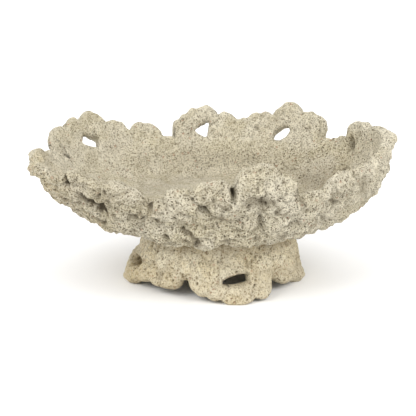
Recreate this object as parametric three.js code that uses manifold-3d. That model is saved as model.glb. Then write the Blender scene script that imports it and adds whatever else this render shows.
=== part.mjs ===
// A coral-stone bowl on a foot: a wide shallow cup whose rim grows in round lobes, with three
// holes through its back wall, resting on a smaller cup turned upside down.
// Millimetres. +X is the bowl's right end, +Y its back, +Z up. The foot stands on z = 0.
// Directions are degrees round the middle, from +X towards +Y, so 270 is the front.
import * as THREE from "three";
import { mergeVertices } from "three/addons/utils/BufferGeometryUtils.js";
import Module from "manifold-3d";

const wasm = await Module();
wasm.setup();

// The bowl's section. The flat bottom turns up in one arc, and runs on straight above it. Each pair is
// the value all round, then the value at the right end, where the wall stands steeper. The depth ratio
// is depth over width, first for the bottom and then for the rim.
const bowl = {
  seatHeight: 82,
  wall: 20,
  flatRadius: [106, 147],
  bendRadius: [165, 100],
  bendTurn: [62, 78],
  depthRatio: [1.3, 0.8],
  edgeRound: 13,
  usualLength: 268,
  rings: 19,
};

// The rim's lobes: direction, half angle, height of the crest. Each is a round cap, as much lower at its
// sides as its half angle times the relief. It swells the wall below it, and neighbours meet in a groove.
const rimLobes = [
  [2, 10, 194], [15, 8, 197], [27, 7, 198], [37, 6, 172], [45, 5, 163], [49.5, 4.5, 183],
  [55.5, 5, 195], [64, 7, 202], [74.5, 6.5, 185], [85, 4.5, 185], [94, 8.2, 192], [105.5, 3.5, 154],
  [113.5, 6, 172], [123, 5.3, 180], [131.5, 5.5, 194], [138.5, 5, 190], [147, 6, 181], [160, 6, 158],
  [172, 9, 170], [186, 9, 167], [196, 8, 167], [206, 8, 175], [226, 10, 180], [240, 10, 174],
  [256, 8, 169], [266, 8, 173], [273, 5.5, 188], [284, 7.5, 204], [292, 6.5, 188], [298, 5, 164],
  [306, 7, 169], [319, 9, 191], [331, 9, 189], [346, 10, 192],
];
const rimBase = 150;
const rimTilt = 10;
const lobeRelief = 3;
const lobeSwell = 0.14;
const swellReach = 75;

// Lumps scattered over the outer wall, and the slow waves in every surface.
const lumps = { count: 80, nearest: 28, span: 112, radius: 24, swell: 9, sunk: 8 };
const waves = { length: 47, height: 2.2 };

// Holes that run front to back through the wall: direction, distance below the rim, and the outline as
// [right, up] seen from the front, a little from above.
const holeTilt = 15;
const wallHoles = [
  { at: 134.9, below: 38.5, outline: [[-9, 0], [-8, 11], [-1, 8], [10, 4], [10, -8], [0, -4]] },
  { at: 92.7, below: 36.7, outline: [[-11, -1], [-6, 5], [6, 11], [10, 9], [6, -9], [-1, -8], [-8, -5]] },
  {
    at: 64.8,
    below: 48,
    outline: [[-11, -4], [-7, 4], [1, 9], [9, 10], [12, 6], [9, -2], [2, -8], [-7, -8]],
  },
];

// Pits and clefts in the bowl: side, both ends as [direction, distance below the rim], half width, depth.
// The upper side of the bowl's wall is its inside.
const bowlPits = [
  ["upper", [28.2, 37], [28.2, 37], 8, 15],
  ["lower", [223.5, 5], [223.5, 12], 6, 11],
  ["lower", [229.8, 25], [234.5, 38], 9, 15],
  ["lower", [251.8, 13], [251.8, 38], 5, 8],
  ["lower", [244.3, 54], [244.3, 54], 8, 9],
  ["lower", [265.8, 24], [269.5, 50], 6, 11],
  ["lower", [277, 4], [276.2, 34], 5, 14],
  ["lower", [281.2, 57], [288, 60], 9, 16],
  ["lower", [298, 29], [299, 36], 7, 11],
  ["lower", [329, 40], [330, 46], 7, 9],
];

// The foot: a plate under the bowl, a round shoulder, and a skirt that flares to a lobed hem.
const foot = {
  middleX: 5,
  wall: 18,
  plateRadius: 83,
  shoulderRadius: 14,
  shoulderTurn: 79,
  edgeRound: 8,
  archHeight: 30,
  usualLength: 155,
  rings: 12,
  lobeRelief: 1.4,
  lobeSwell: 0.14,
  swellReach: 45,
};

// The hem's lobes: direction, half angle, height of the lowest point, how far it stands out.
const hemLobes = [
  [8, 12, 4, 0], [30, 13, -2, 2], [55, 15, 4, 5], [80, 14, -2, 10], [105, 14, 5, 2],
  [128, 13, -2, 8], [152, 14, 4, 5], [174, 10, 6, 2], [194, 15, -2, 7], [212, 9, 9, 3],
  [230, 14, 8, 4], [263, 12, 7, 8], [283, 14, -2, 26], [301, 13, 2, 16], [323, 9, 14, 3],
  [346, 14, -2, 3],
];
const slit = {
  at: 283,
  height: 28,
  outline: [[-15, -3], [-8, 2], [4, 6], [14, 7], [15, -2], [5, -4], [-12, -6]],
};

// Pits in the foot: side, both ends as [direction, height], half width, depth.
const footPits = [
  ["upper", [198, 32], [212, 31], 7, 12],
  ["upper", [225, 55], [225, 50], 5, 7],
];
const joinGap = 0.3;

const radians = THREE.MathUtils.degToRad;
const clamp = THREE.MathUtils.clamp;

function between(pair, phi) {
  return pair[0] + (pair[1] - pair[0]) * Math.max(0, Math.cos(phi)) ** 1.5;
}

// Where a direction lies across a lobe: 0 at its middle, 1 and -1 at its sides.
function across(phi, at, half) {
  const turn = THREE.MathUtils.euclideanModulo(THREE.MathUtils.radToDeg(phi) - at + 180, 360) - 180;
  return turn / half;
}

function cap(t) {
  return Math.sqrt(Math.max(0, 1 - t * t));
}

function rimHeight(phi) {
  const crests = rimLobes.map(([at, half, top]) => {
    const t = across(phi, at, half);
    return Math.abs(t) < 1 ? top - lobeRelief * half * (1 - cap(t)) : 0;
  });
  return Math.max(rimBase + rimTilt * Math.cos(phi), ...crests);
}

// How far a lobed wall swells at phi, by the widest lobe there: as a share of a lobe's half width.
function swellOf(table, phi, radius) {
  return Math.max(0, ...table.map(([at, half]) => cap(across(phi, at, half)) * radians(half) * radius));
}

function middleZ() {
  return bowl.seatHeight + bowl.wall / 2;
}

// The length along the section at which the bowl's wall reaches height z.
function lengthTo(phi, z) {
  const [flat, bend] = [between(bowl.flatRadius, phi), between(bowl.bendRadius, phi)];
  const turn = radians(between(bowl.bendTurn, phi));
  const arcTop = middleZ() + bend * (1 - Math.cos(turn));
  if (z < arcTop) return flat + bend * Math.acos(clamp(1 - (z - middleZ()) / bend, -1, 1));
  return flat + bend * turn + (z - arcTop) / Math.sin(turn);
}

// The middle of the bowl's wall at a length along its section, and the direction out of its upper side.
function bowlMiddle(phi, length) {
  const [flat, bend] = [between(bowl.flatRadius, phi), between(bowl.bendRadius, phi)];
  const turn = radians(between(bowl.bendTurn, phi));
  const alpha = clamp((length - flat) / bend, 0, turn);
  const past = Math.max(0, length - flat - bend * turn);
  const sway = 0.012 * Math.sin(3 * phi + 1) + 0.008 * Math.sin(5 * phi + 2.2);
  const plan = (0.982 - 0.035 * Math.cos(phi) + sway - 1) * clamp(length / 200, 0, 1) + 1;
  const radius = (Math.min(length, flat) + bend * Math.sin(alpha) + past * Math.cos(alpha)) * plan;
  const z = middleZ() + bend * (1 - Math.cos(alpha)) + past * Math.sin(alpha);
  const ratio = THREE.MathUtils.lerp(...bowl.depthRatio, THREE.MathUtils.smoothstep(length, 80, 240));
  const slope = Math.sin(alpha);
  return {
    place: new THREE.Vector3(radius * Math.cos(phi), radius * ratio * Math.sin(phi), z),
    normal: new THREE.Vector3(-slope * Math.cos(phi), -slope * Math.sin(phi), Math.cos(alpha)),
  };
}

// Lumps lie on a golden-angle spiral that is wound over the outer wall's height again and again.
const lumpPlaces = Array.from({ length: lumps.count }, (_, k) => {
  const phi = radians((k * 137.508) % 360);
  const below = lumps.nearest + lumps.span * ((k * 0.618034) % 1);
  const { place, normal } = bowlMiddle(phi, lengthTo(phi, rimHeight(phi)) - below);
  const size = 0.75 + 0.5 * ((k * 0.3819) % 1);
  return { place: place.addScaledVector(normal, -bowl.wall / 2), size };
});

function lumpSwell(place) {
  let swell = 0;
  for (const lump of lumpPlaces) {
    const far = place.distanceTo(lump.place) / (lumps.radius * lump.size);
    if (far < 1) swell = Math.max(swell, lumps.swell * lump.size * Math.sqrt(1 - far * far));
  }
  return swell;
}

function wave(p) {
  const k = (2 * Math.PI) / waves.length;
  const first = Math.sin(k * p.x + 1.3 * Math.sin(0.6 * k * p.y)) * Math.cos(k * p.y + 0.8 * k * p.z);
  const second = Math.sin(1.7 * k * p.y + 2.1) * Math.cos(1.5 * k * p.x - 1.1 * k * p.z);
  return waves.height * (first + 0.6 * second);
}

// How much of its thickness a wall keeps at a distance from its rounded edge.
function roundOff(distance, radius) {
  return cap(1 - Math.min(distance / radius, 1));
}

// Both sides of the bowl's wall, at a distance below the rim along its section.
function bowlSides(phi, below) {
  const length = lengthTo(phi, rimHeight(phi)) - below;
  const { place, normal } = bowlMiddle(phi, length);
  const off = clamp((length - between(bowl.flatRadius, phi)) / 25, 0, 1);
  const half = (bowl.wall / 2) * roundOff(below, bowl.edgeRound);
  const edge = roundOff(below, bowl.edgeRound);
  const swell = lobeSwell * swellOf(rimLobes, phi, 250) * Math.exp(-((below / swellReach) ** 2));
  const upper = place.clone().addScaledVector(normal, half + edge * off * (0.25 * swell + wave(place)));
  const outer = place.clone().addScaledVector(normal, -half);
  const out = edge * off * (swell + lumpSwell(outer) + wave(outer) - lumps.sunk);
  return { upper, lower: outer.addScaledVector(normal, -out), normal };
}

// The same by rho, which runs from 0 in the middle to 1 on the rim.
function bowlWall(phi, rho) {
  const whole = lengthTo(phi, rimHeight(phi));
  const share = 1 - (1 - rho) ** 1.25;
  return bowlSides(phi, whole - share * (bowl.usualLength + (whole - bowl.usualLength) * share));
}

function hemHeight(phi) {
  const dips = hemLobes.map(([at, half, low]) => {
    const t = across(phi, at, half);
    return Math.abs(t) < 1 ? low + foot.lobeRelief * half * (1 - cap(t)) : foot.archHeight;
  });
  return Math.min(foot.archHeight, ...dips);
}

function footMiddle(phi, length) {
  const turn = radians(foot.shoulderTurn);
  const alpha = clamp((length - foot.plateRadius) / foot.shoulderRadius, 0, turn);
  const past = Math.max(0, length - foot.plateRadius - foot.shoulderRadius * turn);
  const stands = hemLobes.map(([at, half, , out]) => out * Math.exp(-(across(phi, at, half) ** 2)));
  const stand = stands.reduce((sum, out) => sum + out, 0);
  const flare = past * Math.cos(turn) + stand * clamp(past / 60, 0, 1.3) ** 1.5;
  const radius = Math.min(length, foot.plateRadius) + foot.shoulderRadius * Math.sin(alpha) + flare;
  const top = bowl.seatHeight - joinGap - foot.wall / 2;
  const z = top - foot.shoulderRadius * (1 - Math.cos(alpha)) - past * Math.sin(turn);
  const slope = Math.sin(alpha);
  return {
    place: new THREE.Vector3(foot.middleX + radius * Math.cos(phi), radius * Math.sin(phi), z),
    normal: new THREE.Vector3(slope * Math.cos(phi), slope * Math.sin(phi), Math.cos(alpha)),
  };
}

// The length along the foot's section at which its skirt comes down to height z.
function skirtLength(z) {
  const turn = radians(foot.shoulderTurn);
  const top = bowl.seatHeight - joinGap - foot.wall / 2 - foot.shoulderRadius * (1 - Math.cos(turn));
  return foot.plateRadius + foot.shoulderRadius * turn + (top - z) / Math.sin(turn);
}

// Both sides of the foot's wall at a length along its section.
function footSides(phi, length) {
  const below = skirtLength(hemHeight(phi)) - length;
  const shoulderEnd = foot.plateRadius + foot.shoulderRadius * radians(foot.shoulderTurn);
  const { place, normal } = footMiddle(phi, length);
  const edge = roundOff(below, foot.edgeRound);
  const off = clamp((length - shoulderEnd) / 20, 0, 1);
  const half = (foot.wall / 2) * edge;
  const swell = foot.lobeSwell * swellOf(hemLobes, phi, 115) * Math.exp(-((below / foot.swellReach) ** 2));
  const out = edge * off * (swell + wave(place) * 0.7);
  return {
    upper: place.clone().addScaledVector(normal, half + out),
    lower: place.clone().addScaledVector(normal, -half),
    normal,
  };
}

function footWall(phi, rho) {
  const whole = skirtLength(hemHeight(phi));
  const share = 1 - (1 - rho) ** 1.2;
  return footSides(phi, share * (foot.usualLength + (whole - foot.usualLength) * share));
}

// A cell of a square grid, laid over a disc so that its squares become rings.
function discPlace(p, q) {
  const rho = Math.max(Math.abs(p), Math.abs(q));
  if (rho === 0) return [0, 0];
  if (Math.abs(p) >= Math.abs(q)) return [(Math.PI / 4) * (q / p) + (p < 0 ? Math.PI : 0), rho];
  return [Math.PI / 2 - (Math.PI / 4) * (p / q) + (q < 0 ? Math.PI : 0), rho];
}

// A closed shell from two sheets over the same disc, joined along its edge.
function shellOf(rings, wall) {
  const side = 2 * rings + 1;
  const places = [];
  const upper = [];
  const lower = [];
  for (let j = 0; j < side; j++) {
    for (let i = 0; i < side; i++) {
      const [phi, rho] = discPlace(i / rings - 1, j / rings - 1);
      const both = wall(phi, rho);
      upper.push(places.push(both.upper) - 1);
      lower.push(rho === 1 ? upper.at(-1) : places.push(both.lower) - 1);
    }
  }
  const triangles = [];
  for (let j = 0; j < side - 1; j++) {
    for (let i = 0; i < side - 1; i++) {
      const [a, b, c, d] = [j * side + i, j * side + i + 1, (j + 1) * side + i + 1, (j + 1) * side + i];
      const towardsCorner = i < rings === j < rings;
      const cell = towardsCorner ? [[a, b, c], [a, c, d]] : [[a, b, d], [b, c, d]];
      for (const [x, y, z] of cell) {
        triangles.push(upper[x], upper[y], upper[z], lower[x], lower[z], lower[y]);
      }
    }
  }
  const vertProperties = new Float32Array(places.flatMap((v) => v.toArray()));
  const triVerts = new Uint32Array(triangles);
  return new wasm.Manifold(new wasm.Mesh({ numProp: 3, vertProperties, triVerts }));
}

// A three.js geometry as a solid.
function solidOf(geometry) {
  geometry.deleteAttribute("normal");
  geometry.deleteAttribute("uv");
  const merged = mergeVertices(geometry, 1e-3);
  const vertProperties = merged.attributes.position.array;
  const triVerts = new Uint32Array(merged.index.array);
  return new wasm.Manifold(new wasm.Mesh({ numProp: 3, vertProperties, triVerts }));
}

// A bar with an irregular outline that runs front to back through the wall at a place.
function holeCutter(place, outline, reach) {
  const curve = new THREE.CatmullRomCurve3(outline.map(([u, v]) => new THREE.Vector3(u, v, 0)), true);
  const corners = curve.getSpacedPoints(12).slice(0, -1).map((p) => new THREE.Vector2(p.x, p.y));
  const bar = new THREE.ExtrudeGeometry(new THREE.Shape(corners), { depth: 2 * reach, bevelEnabled: false });
  bar.translate(0, 0, -reach).rotateX(radians(90 - holeTilt));
  return solidOf(bar.translate(place.x, place.y, place.z));
}

// A pit or cleft: a ball on the surface, drawn out from one end of it to the other.
function pitCutter(from, to, normal, half, depth) {
  const reach = to.clone().sub(from);
  const up = new THREE.Vector3(0, 0, 1).addScaledVector(normal, -normal.z);
  const along = reach.length() > 1 ? reach.clone().addScaledVector(normal, -reach.dot(normal)) : up;
  along.normalize();
  const ball = new THREE.SphereGeometry(1, 8, 6).scale(half, depth, half + reach.length() / 2);
  const side = new THREE.Vector3().crossVectors(normal, along);
  const facing = new THREE.Matrix4().makeBasis(side, normal, along);
  facing.setPosition(from.clone().addScaledVector(reach, 0.5));
  return solidOf(ball.applyMatrix4(facing));
}

function bowlSolid() {
  const holes = wallHoles.map(({ at, below, outline }) => {
    const phi = radians(at);
    return holeCutter(bowlMiddle(phi, lengthTo(phi, rimHeight(phi)) - below).place, outline, 50);
  });
  const pits = bowlPits.map(([side, from, to, half, depth]) => {
    const [start, end] = [from, to].map(([at, below]) => bowlSides(radians(at), below));
    return pitCutter(start[side], end[side], start.normal, half, depth);
  });
  const shell = shellOf(bowl.rings, bowlWall);
  return [...holes, ...pits].reduce((solid, cutter) => solid.subtract(cutter), shell);
}

function footSolid() {
  const table = new THREE.BoxGeometry(400, 400, 40).translate(0, 0, -20);
  const pits = footPits.map(([side, from, to, half, depth]) => {
    const [start, end] = [from, to].map(([at, z]) => footSides(radians(at), skirtLength(z)));
    return pitCutter(start[side], end[side], start.normal, half, depth);
  });
  const opening = holeCutter(footMiddle(radians(slit.at), skirtLength(slit.height)).place, slit.outline, 30);
  const cutters = [solidOf(table), opening, ...pits];
  return cutters.reduce((solid, cutter) => solid.subtract(cutter), shellOf(foot.rings, footWall));
}

function meshOf(name, solid, colour) {
  const { numProp, vertProperties, triVerts } = solid.getMesh();
  const geometry = new THREE.BufferGeometry();
  const positions = new Float32Array((vertProperties.length / numProp) * 3);
  for (let i = 0; i < positions.length / 3; i++) {
    positions.set(vertProperties.subarray(i * numProp, i * numProp + 3), i * 3);
  }
  geometry.setAttribute("position", new THREE.BufferAttribute(positions, 3));
  geometry.setIndex(new THREE.BufferAttribute(triVerts, 1));
  geometry.computeVertexNormals();
  const material = new THREE.MeshStandardMaterial({ color: colour, roughness: 0.95, metalness: 0 });
  const mesh = new THREE.Mesh(geometry, material);
  mesh.name = name;
  return mesh;
}

// The origin is under the middle of the whole, on the table.
const group = new THREE.Group();
group.add(meshOf("bowl", bowlSolid(), 0xc4bb9f), meshOf("foot", footSolid(), 0xcdc3a0));
const box = new THREE.Box3().setFromObject(group);
const middle = box.getCenter(new THREE.Vector3());
group.children.forEach((mesh) => mesh.position.set(-middle.x, -middle.y, -box.min.z));
const size = box.getSize(new THREE.Vector3());
console.log("size", size.toArray().map((v) => v.toFixed(1)).join(" "), "middle", middle.toArray().join(" "));

export default group;
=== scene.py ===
import math
import bpy
import numpy as np
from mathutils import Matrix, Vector


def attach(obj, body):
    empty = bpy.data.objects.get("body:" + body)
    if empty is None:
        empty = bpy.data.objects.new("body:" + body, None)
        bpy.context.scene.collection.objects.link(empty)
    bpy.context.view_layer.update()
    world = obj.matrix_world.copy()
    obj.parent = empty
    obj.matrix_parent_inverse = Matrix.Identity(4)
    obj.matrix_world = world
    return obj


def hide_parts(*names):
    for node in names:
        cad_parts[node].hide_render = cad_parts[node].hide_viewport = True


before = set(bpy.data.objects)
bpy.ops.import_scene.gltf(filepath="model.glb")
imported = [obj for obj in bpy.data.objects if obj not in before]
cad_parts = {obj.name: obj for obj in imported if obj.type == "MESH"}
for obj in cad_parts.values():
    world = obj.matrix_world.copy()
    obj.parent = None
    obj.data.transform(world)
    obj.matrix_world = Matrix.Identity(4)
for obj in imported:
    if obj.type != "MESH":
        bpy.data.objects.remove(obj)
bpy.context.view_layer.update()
scene = bpy.context.scene
scene.view_settings.view_transform = "Standard"
mm = 0.001  # shapes are worked out in millimetres, and lists give directions in degrees
fullTurn = 2 * math.pi
farAway = 1e9  # more than any distance here
print("frame loaded:", ", ".join(sorted(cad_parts)))


# Small helpers

def mixed(a, b, t):
    return a + (b - a) * t


# 0 below low, 1 above high, and 3 t^2 - 2 t^3 between them.
def smooth(low, high, x):
    t = np.clip((x - low) / (high - low), 0, 1)
    return t * t * (3 - 2 * t)


# A half circle over -1 to 1: the root of 1 - t^2, and 0 outside it.
def cap(t):
    return np.sqrt(np.maximum(0, 1 - t * t))


# A bell curve: e to the power -t^2.
def bell(t):
    return np.exp(-(t ** 2))


# How much of its thickness a wall keeps at a distance from its rounded edge: a quarter circle.
def roundOff(distance, radius):
    return cap(1 - np.clip(distance / radius, 0, 1))


# Where a direction lies across a lobe: 0 at its middle, 1 and -1 at its sides.
def across(phi, at, half):
    return ((np.degrees(phi) - at + 180) % 360 - 180) / half


# A patch's strength in each direction, used for painted shade, painted light and ochre tints alike: a bell
# curve from (strength, direction, half angle).
def tintPatch(phi, spot):
    strength, at, half = spot
    return strength * bell(across(phi, at, half))


# A random number from 0 to 1 for each whole-numbered cell: multiply, shift and mix the cell's place. The
# large odd numbers only scatter the bits.
def cellRandom(cell, seed):
    x, y, z = (cell[:, k].astype(np.int64).view(np.uint64) for k in range(3))
    n = x * np.uint64(374761393) + y * np.uint64(668265263) + z * np.uint64(2246822519)
    n = n + np.uint64(seed * 3266489917 + 12345)
    n = (n ^ (n >> np.uint64(15))) * np.uint64(2654435761)
    n = (n ^ (n >> np.uint64(17))) * np.uint64(1274126177)
    n = n ^ (n >> np.uint64(29))
    return (n & np.uint64(0xFFFFFF)).astype(float) / 0xFFFFFF


# A fixed turn of space, so that a noise's cells don't line up with the axes or with each other.
def turned(p, seed):
    a, b = 0.7 + 1.3 * seed, 0.4 + 2.1 * seed
    rotZ = np.array([[math.cos(a), -math.sin(a), 0], [math.sin(a), math.cos(a), 0], [0, 0, 1]])
    rotX = np.array([[1, 0, 0], [0, math.cos(b), -math.sin(b)], [0, math.sin(b), math.cos(b)]])
    return p @ (rotZ @ rotX).T


# Noise from -1 to 1: the random numbers at a cell's eight corners, blended along each axis by
# 6 t^5 - 15 t^4 + 10 t^3.
def valueNoise(p, size, seed):
    q = turned(p, seed) / size
    base = np.floor(q)
    t = q - base
    t = t * t * t * (t * (t * 6 - 15) + 10)
    total = np.zeros(len(p))
    for corner in range(8):
        step = np.array([corner & 1, corner >> 1 & 1, corner >> 2])
        weight = np.prod(np.where(step == 1, t, 1 - t), axis=1)
        total += weight * cellRandom(base + step, seed)
    return 2 * total - 1


# Rough noise: octaves of the above, each of half the size and half the strength of the last.
def roughNoise(p, size, seed, octaves=3):
    total = sum(valueNoise(p, size / 2 ** k, seed + 7 * k) / 2 ** k for k in range(octaves))
    return total / (2 - 0.5 ** (octaves - 1))


# The same from a pair of size and height.
def relief(p, pair, seed, octaves=3):
    return pair[1] * roughNoise(p, pair[0], seed, octaves)


# Three noises as a vector, which bends whatever is read at the moved place.
def noiseVector(p, size, seed, octaves=1):
    return np.stack([roughNoise(p, size, seed + k, octaves) for k in range(3)], axis=1)


# Noise along a ring of the given radius, read by direction.
def ringNoise(phi, radius, size, seed):
    return valueNoise(np.stack([np.cos(phi), np.sin(phi), 0 * phi], axis=1) * radius, size, seed)


# Every cell of the given size holds one seed at a random place. For each point: the distances to the
# nearest seed and to the next one, and the nearest seed's own random number.
def seedDistances(p, size, seed):
    q = turned(p, seed) / size
    base = np.floor(q)
    nearest, second, mark = np.full(len(p), 9.0), np.full(len(p), 9.0), np.zeros(len(p))
    for k in range(27):
        cell = base + np.array([k % 3, k // 3 % 3, k // 9]) - 1
        spot = cell + np.stack([cellRandom(cell, seed + 11 * axis) for axis in range(3)], axis=1)
        far = np.linalg.norm(q - spot, axis=1)
        second = np.where(far < nearest, nearest, np.minimum(second, far))
        mark = np.where(far < nearest, cellRandom(cell, seed + 101), mark)
        nearest = np.minimum(nearest, far)
    return nearest * size, second * size, mark


# Cauliflower lumps: 1 over each seed, falling as the square of the distance to it. With them come the
# creases, a bell curve over the line midway between two seeds, and the seeds' random numbers.
def lumpField(p, size, seed):
    nearest, second, mark = seedDistances(p, size, seed)
    dome = 1 - (nearest / (0.75 * size)) ** 2
    return np.maximum(dome, -0.6), bell((second - nearest) / (0.14 * size)), mark


# Round pits over a share of the seeds: full depth within 0.45 of the radius, eased out to its end.
def pitField(p, pits, seed):
    spacing, share, small, large, depth = pits
    nearest, _, mark = seedDistances(p, spacing, seed)
    radius = mixed(small, large, (mark * 7.31) % 1)
    return depth * np.where(mark < share, 1 - smooth(0.45, 1.0, nearest / radius), 0)


# Shells

farGap = 99  # the distance to the edge that counts for the whole inner part of a sheet


# A square grid laid over a disc so that its squares become rings: the direction and the share of the
# radius of each corner, and each cell's two triangles, cut towards the disc's middle.
def discGrid(rings):
    side = 2 * rings + 1
    q, p = np.meshgrid(np.arange(side) / rings - 1, np.arange(side) / rings - 1, indexing="ij")
    p, q = p.ravel(), q.ravel()
    rho = np.maximum(abs(p), abs(q))
    wide = abs(p) >= abs(q)
    safeP, safeQ = np.where(p == 0, 1, p), np.where(q == 0, 1, q)
    sideways = math.pi / 4 * q / safeP + np.where(p < 0, math.pi, 0)
    upwards = math.pi / 2 - math.pi / 4 * p / safeQ + np.where(q < 0, math.pi, 0)
    phi = np.where(rho == 0, 0, np.where(wide, sideways, upwards))
    j, i = np.meshgrid(np.arange(side - 1), np.arange(side - 1), indexing="ij")
    a = (j * side + i).ravel()
    b, c, d = a + 1, a + side + 1, a + side
    towards = ((i < rings) == (j < rings)).ravel()
    first = np.where(towards[:, None], np.stack([a, b, c], 1), np.stack([a, b, d], 1))
    other = np.where(towards[:, None], np.stack([a, c, d], 1), np.stack([b, c, d], 1))
    return phi % fullTurn, rho, np.concatenate([first, other])


# The same curve of the direction, read from a fine table that is smoothed over a few degrees, so that no
# step in it is too steep for the grid.
def eased(curve, degrees, perDegree=8):
    table = np.linspace(0, fullTurn, 360 * perDegree + 1)
    values = curve(table[:-1])
    spread = int(degrees * perDegree)
    weights = np.hanning(2 * spread + 3)[1:-1]
    wide = np.concatenate([values[-spread:], values, values[:spread]])
    values = np.convolve(wide, weights / weights.sum(), "valid")
    values = np.append(values, values[0])

    def easedCurve(phi):
        return np.interp(phi % fullTurn, table, values)

    return easedCurve


# The length of each corner along its section. The inner rings keep to one usual length, and the outer
# ones take on the edge's shape: its soft form first, and its small lobes near the very end.
def ringLengths(phi, rho, edge, piece):
    softEdge = eased(edge, piece["softDegrees"])
    share = 1 - (1 - rho) ** piece["crowding"]
    length = share * mixed(piece["usualLength"], softEdge(phi), share ** 2)
    return length + (edge(phi) - softEdge(phi)) * share ** piece["lobePower"]


# Distance from each corner to the edge curve of the sheet, which lies at edge(phi): the least over a fan
# of nearby directions.
def edgeDistance(phi, length, edge, radius, reach=16, steps=64, perDegree=4):
    table = np.linspace(0, fullTurn, 360 * perDegree + 1)
    ends = edge(table)
    best = np.full(len(phi), farAway)
    for turn in np.radians(np.linspace(-reach, reach, 2 * steps + 1)):
        end = np.interp((phi + turn) % fullTurn, table, ends)
        best = np.minimum(best, np.hypot(radius * turn, end - length))
    return best


# That distance for a piece's sheet: 0 on the edge itself, and one value all over the inner part.
def edgeGap(phi, rho, length, edge, middleOf, innerPart):
    radius = np.hypot(*middleOf(phi, length)[0][:, :2].T)
    gap = np.where(length > innerPart, edgeDistance(phi % fullTurn, length, edge, radius), farGap)
    return np.where(rho == 1, 0, gap)


# Opens a hole in a sheet. Corners inside the outline's core go, and the ring around them is pulled on to
# the outline, so that the hole's edge is smooth. The others are pushed outwards, less the further away
# they lie. Outlines are radii by angle round the hole's middle.
def openHole(along, up, outline, triangles, core=0.8, reach=3, margin=1.1, leastGap=0.3):
    ahead = np.roll(outline, -1, axis=0)
    corners = np.concatenate([mixed(outline, ahead, t) for t in np.arange(0, 1, 0.1)])
    angles = np.arctan2(corners[:, 1], corners[:, 0])
    order = np.argsort(angles)
    angles, radii = angles[order], np.hypot(corners[:, 0], corners[:, 1])[order]
    angles = np.concatenate([angles - fullTurn, angles, angles + fullTurn])
    here = np.hypot(along, up)
    edge = np.interp(np.arctan2(up, along), angles, np.tile(radii, 3))
    share = here / edge
    inside = share < core
    lost = inside[triangles].any(axis=1)
    border = np.zeros(len(along), bool)
    border[np.intersect1d(triangles[lost], triangles[~lost])] = True
    moved = np.where(border, 1, np.maximum(margin, 1 + (share - core) * (reach - 1) / (reach - core)))
    scale = np.where(share < reach, moved / np.maximum(share, 1e-6), 1)
    gap = np.where(border, 0, np.maximum(leastGap, here * scale - edge))
    return inside, border, scale, gap


# A view outline turned into one on the surface: two small steps on the surface are looked at from the
# front, fifteen degrees up, and their picture is inverted.
def onSurface(outline, middleOf, at, length, radius, grow):
    step = 1.0
    phi = np.array([at, at - step / radius, at])
    places, _ = middleOf(phi, np.array([length, length, length + step]))
    tilt = math.radians(15)
    right = places[:, 0]
    high = places[:, 2] * math.cos(tilt) + places[:, 1] * math.sin(tilt)
    seen = np.array([[right[1] - right[0], right[2] - right[0]], [high[1] - high[0], high[2] - high[0]]])
    return (np.linalg.inv(seen) @ (np.array(outline, float) * grow).T).T


# A hole through a wall, its middle in the direction `at`, `middle` along the section and `spread` from
# the axis: the corners' new places, which ones are gone or on its edge, and their distance to it.
def cutHole(phi, length, triangles, middleOf, at, middle, spread, outline, grow):
    shape = onSurface(outline, middleOf, at, middle, spread, grow)
    along, up = -(phi - at) * spread, length - middle
    gone, border, scale, gap = openHole(along, up, shape, triangles)
    return at - along * scale / spread, middle + up * scale, gone, border, gap


# A dent along the line between two spots, by the distance to it: full depth within the first share of its
# half width, and none past the second.
def dent(points, ragged, spots, halfWidth, depth, slope):
    way = spots[1] - spots[0]
    t = np.clip(((points - spots[0]) @ way) / max(float(way @ way), 1e-9), 0, 1)
    gap = np.linalg.norm(points - spots[0] - t[:, None] * way, axis=1) * ragged
    return depth * (1 - smooth(*slope, gap / halfWidth))


# The mesh of a closed shell: two sheets over one grid, sharing their corners wherever `shared` is true.
# Marks are values for the material, one array for each sheet.
def shellMesh(name, upper, lower, triangles, shared, gone, marks):
    count = len(upper)
    triangles = triangles[~gone[triangles].any(axis=1)]
    below = np.where(shared, np.arange(count), np.arange(count) + count)
    faces = np.concatenate([triangles, below[triangles][:, ::-1]])
    used, faces = np.unique(faces, return_inverse=True)
    faces = faces.reshape(-1, 3)
    points = np.concatenate([upper, lower])[used] * mm
    mesh = bpy.data.meshes.new(name)
    mesh.from_pydata(points, [], faces)
    for mark, values in marks.items():
        mesh.attributes.new(mark, "FLOAT", "POINT").data.foreach_set("value", np.concatenate(values)[used])
    mesh.shade_smooth()
    mesh.validate()
    piece = bpy.data.objects.new(name, mesh)
    scene.collection.objects.link(piece)
    print(name, len(faces), "triangles")
    return piece


# The bowl

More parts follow.
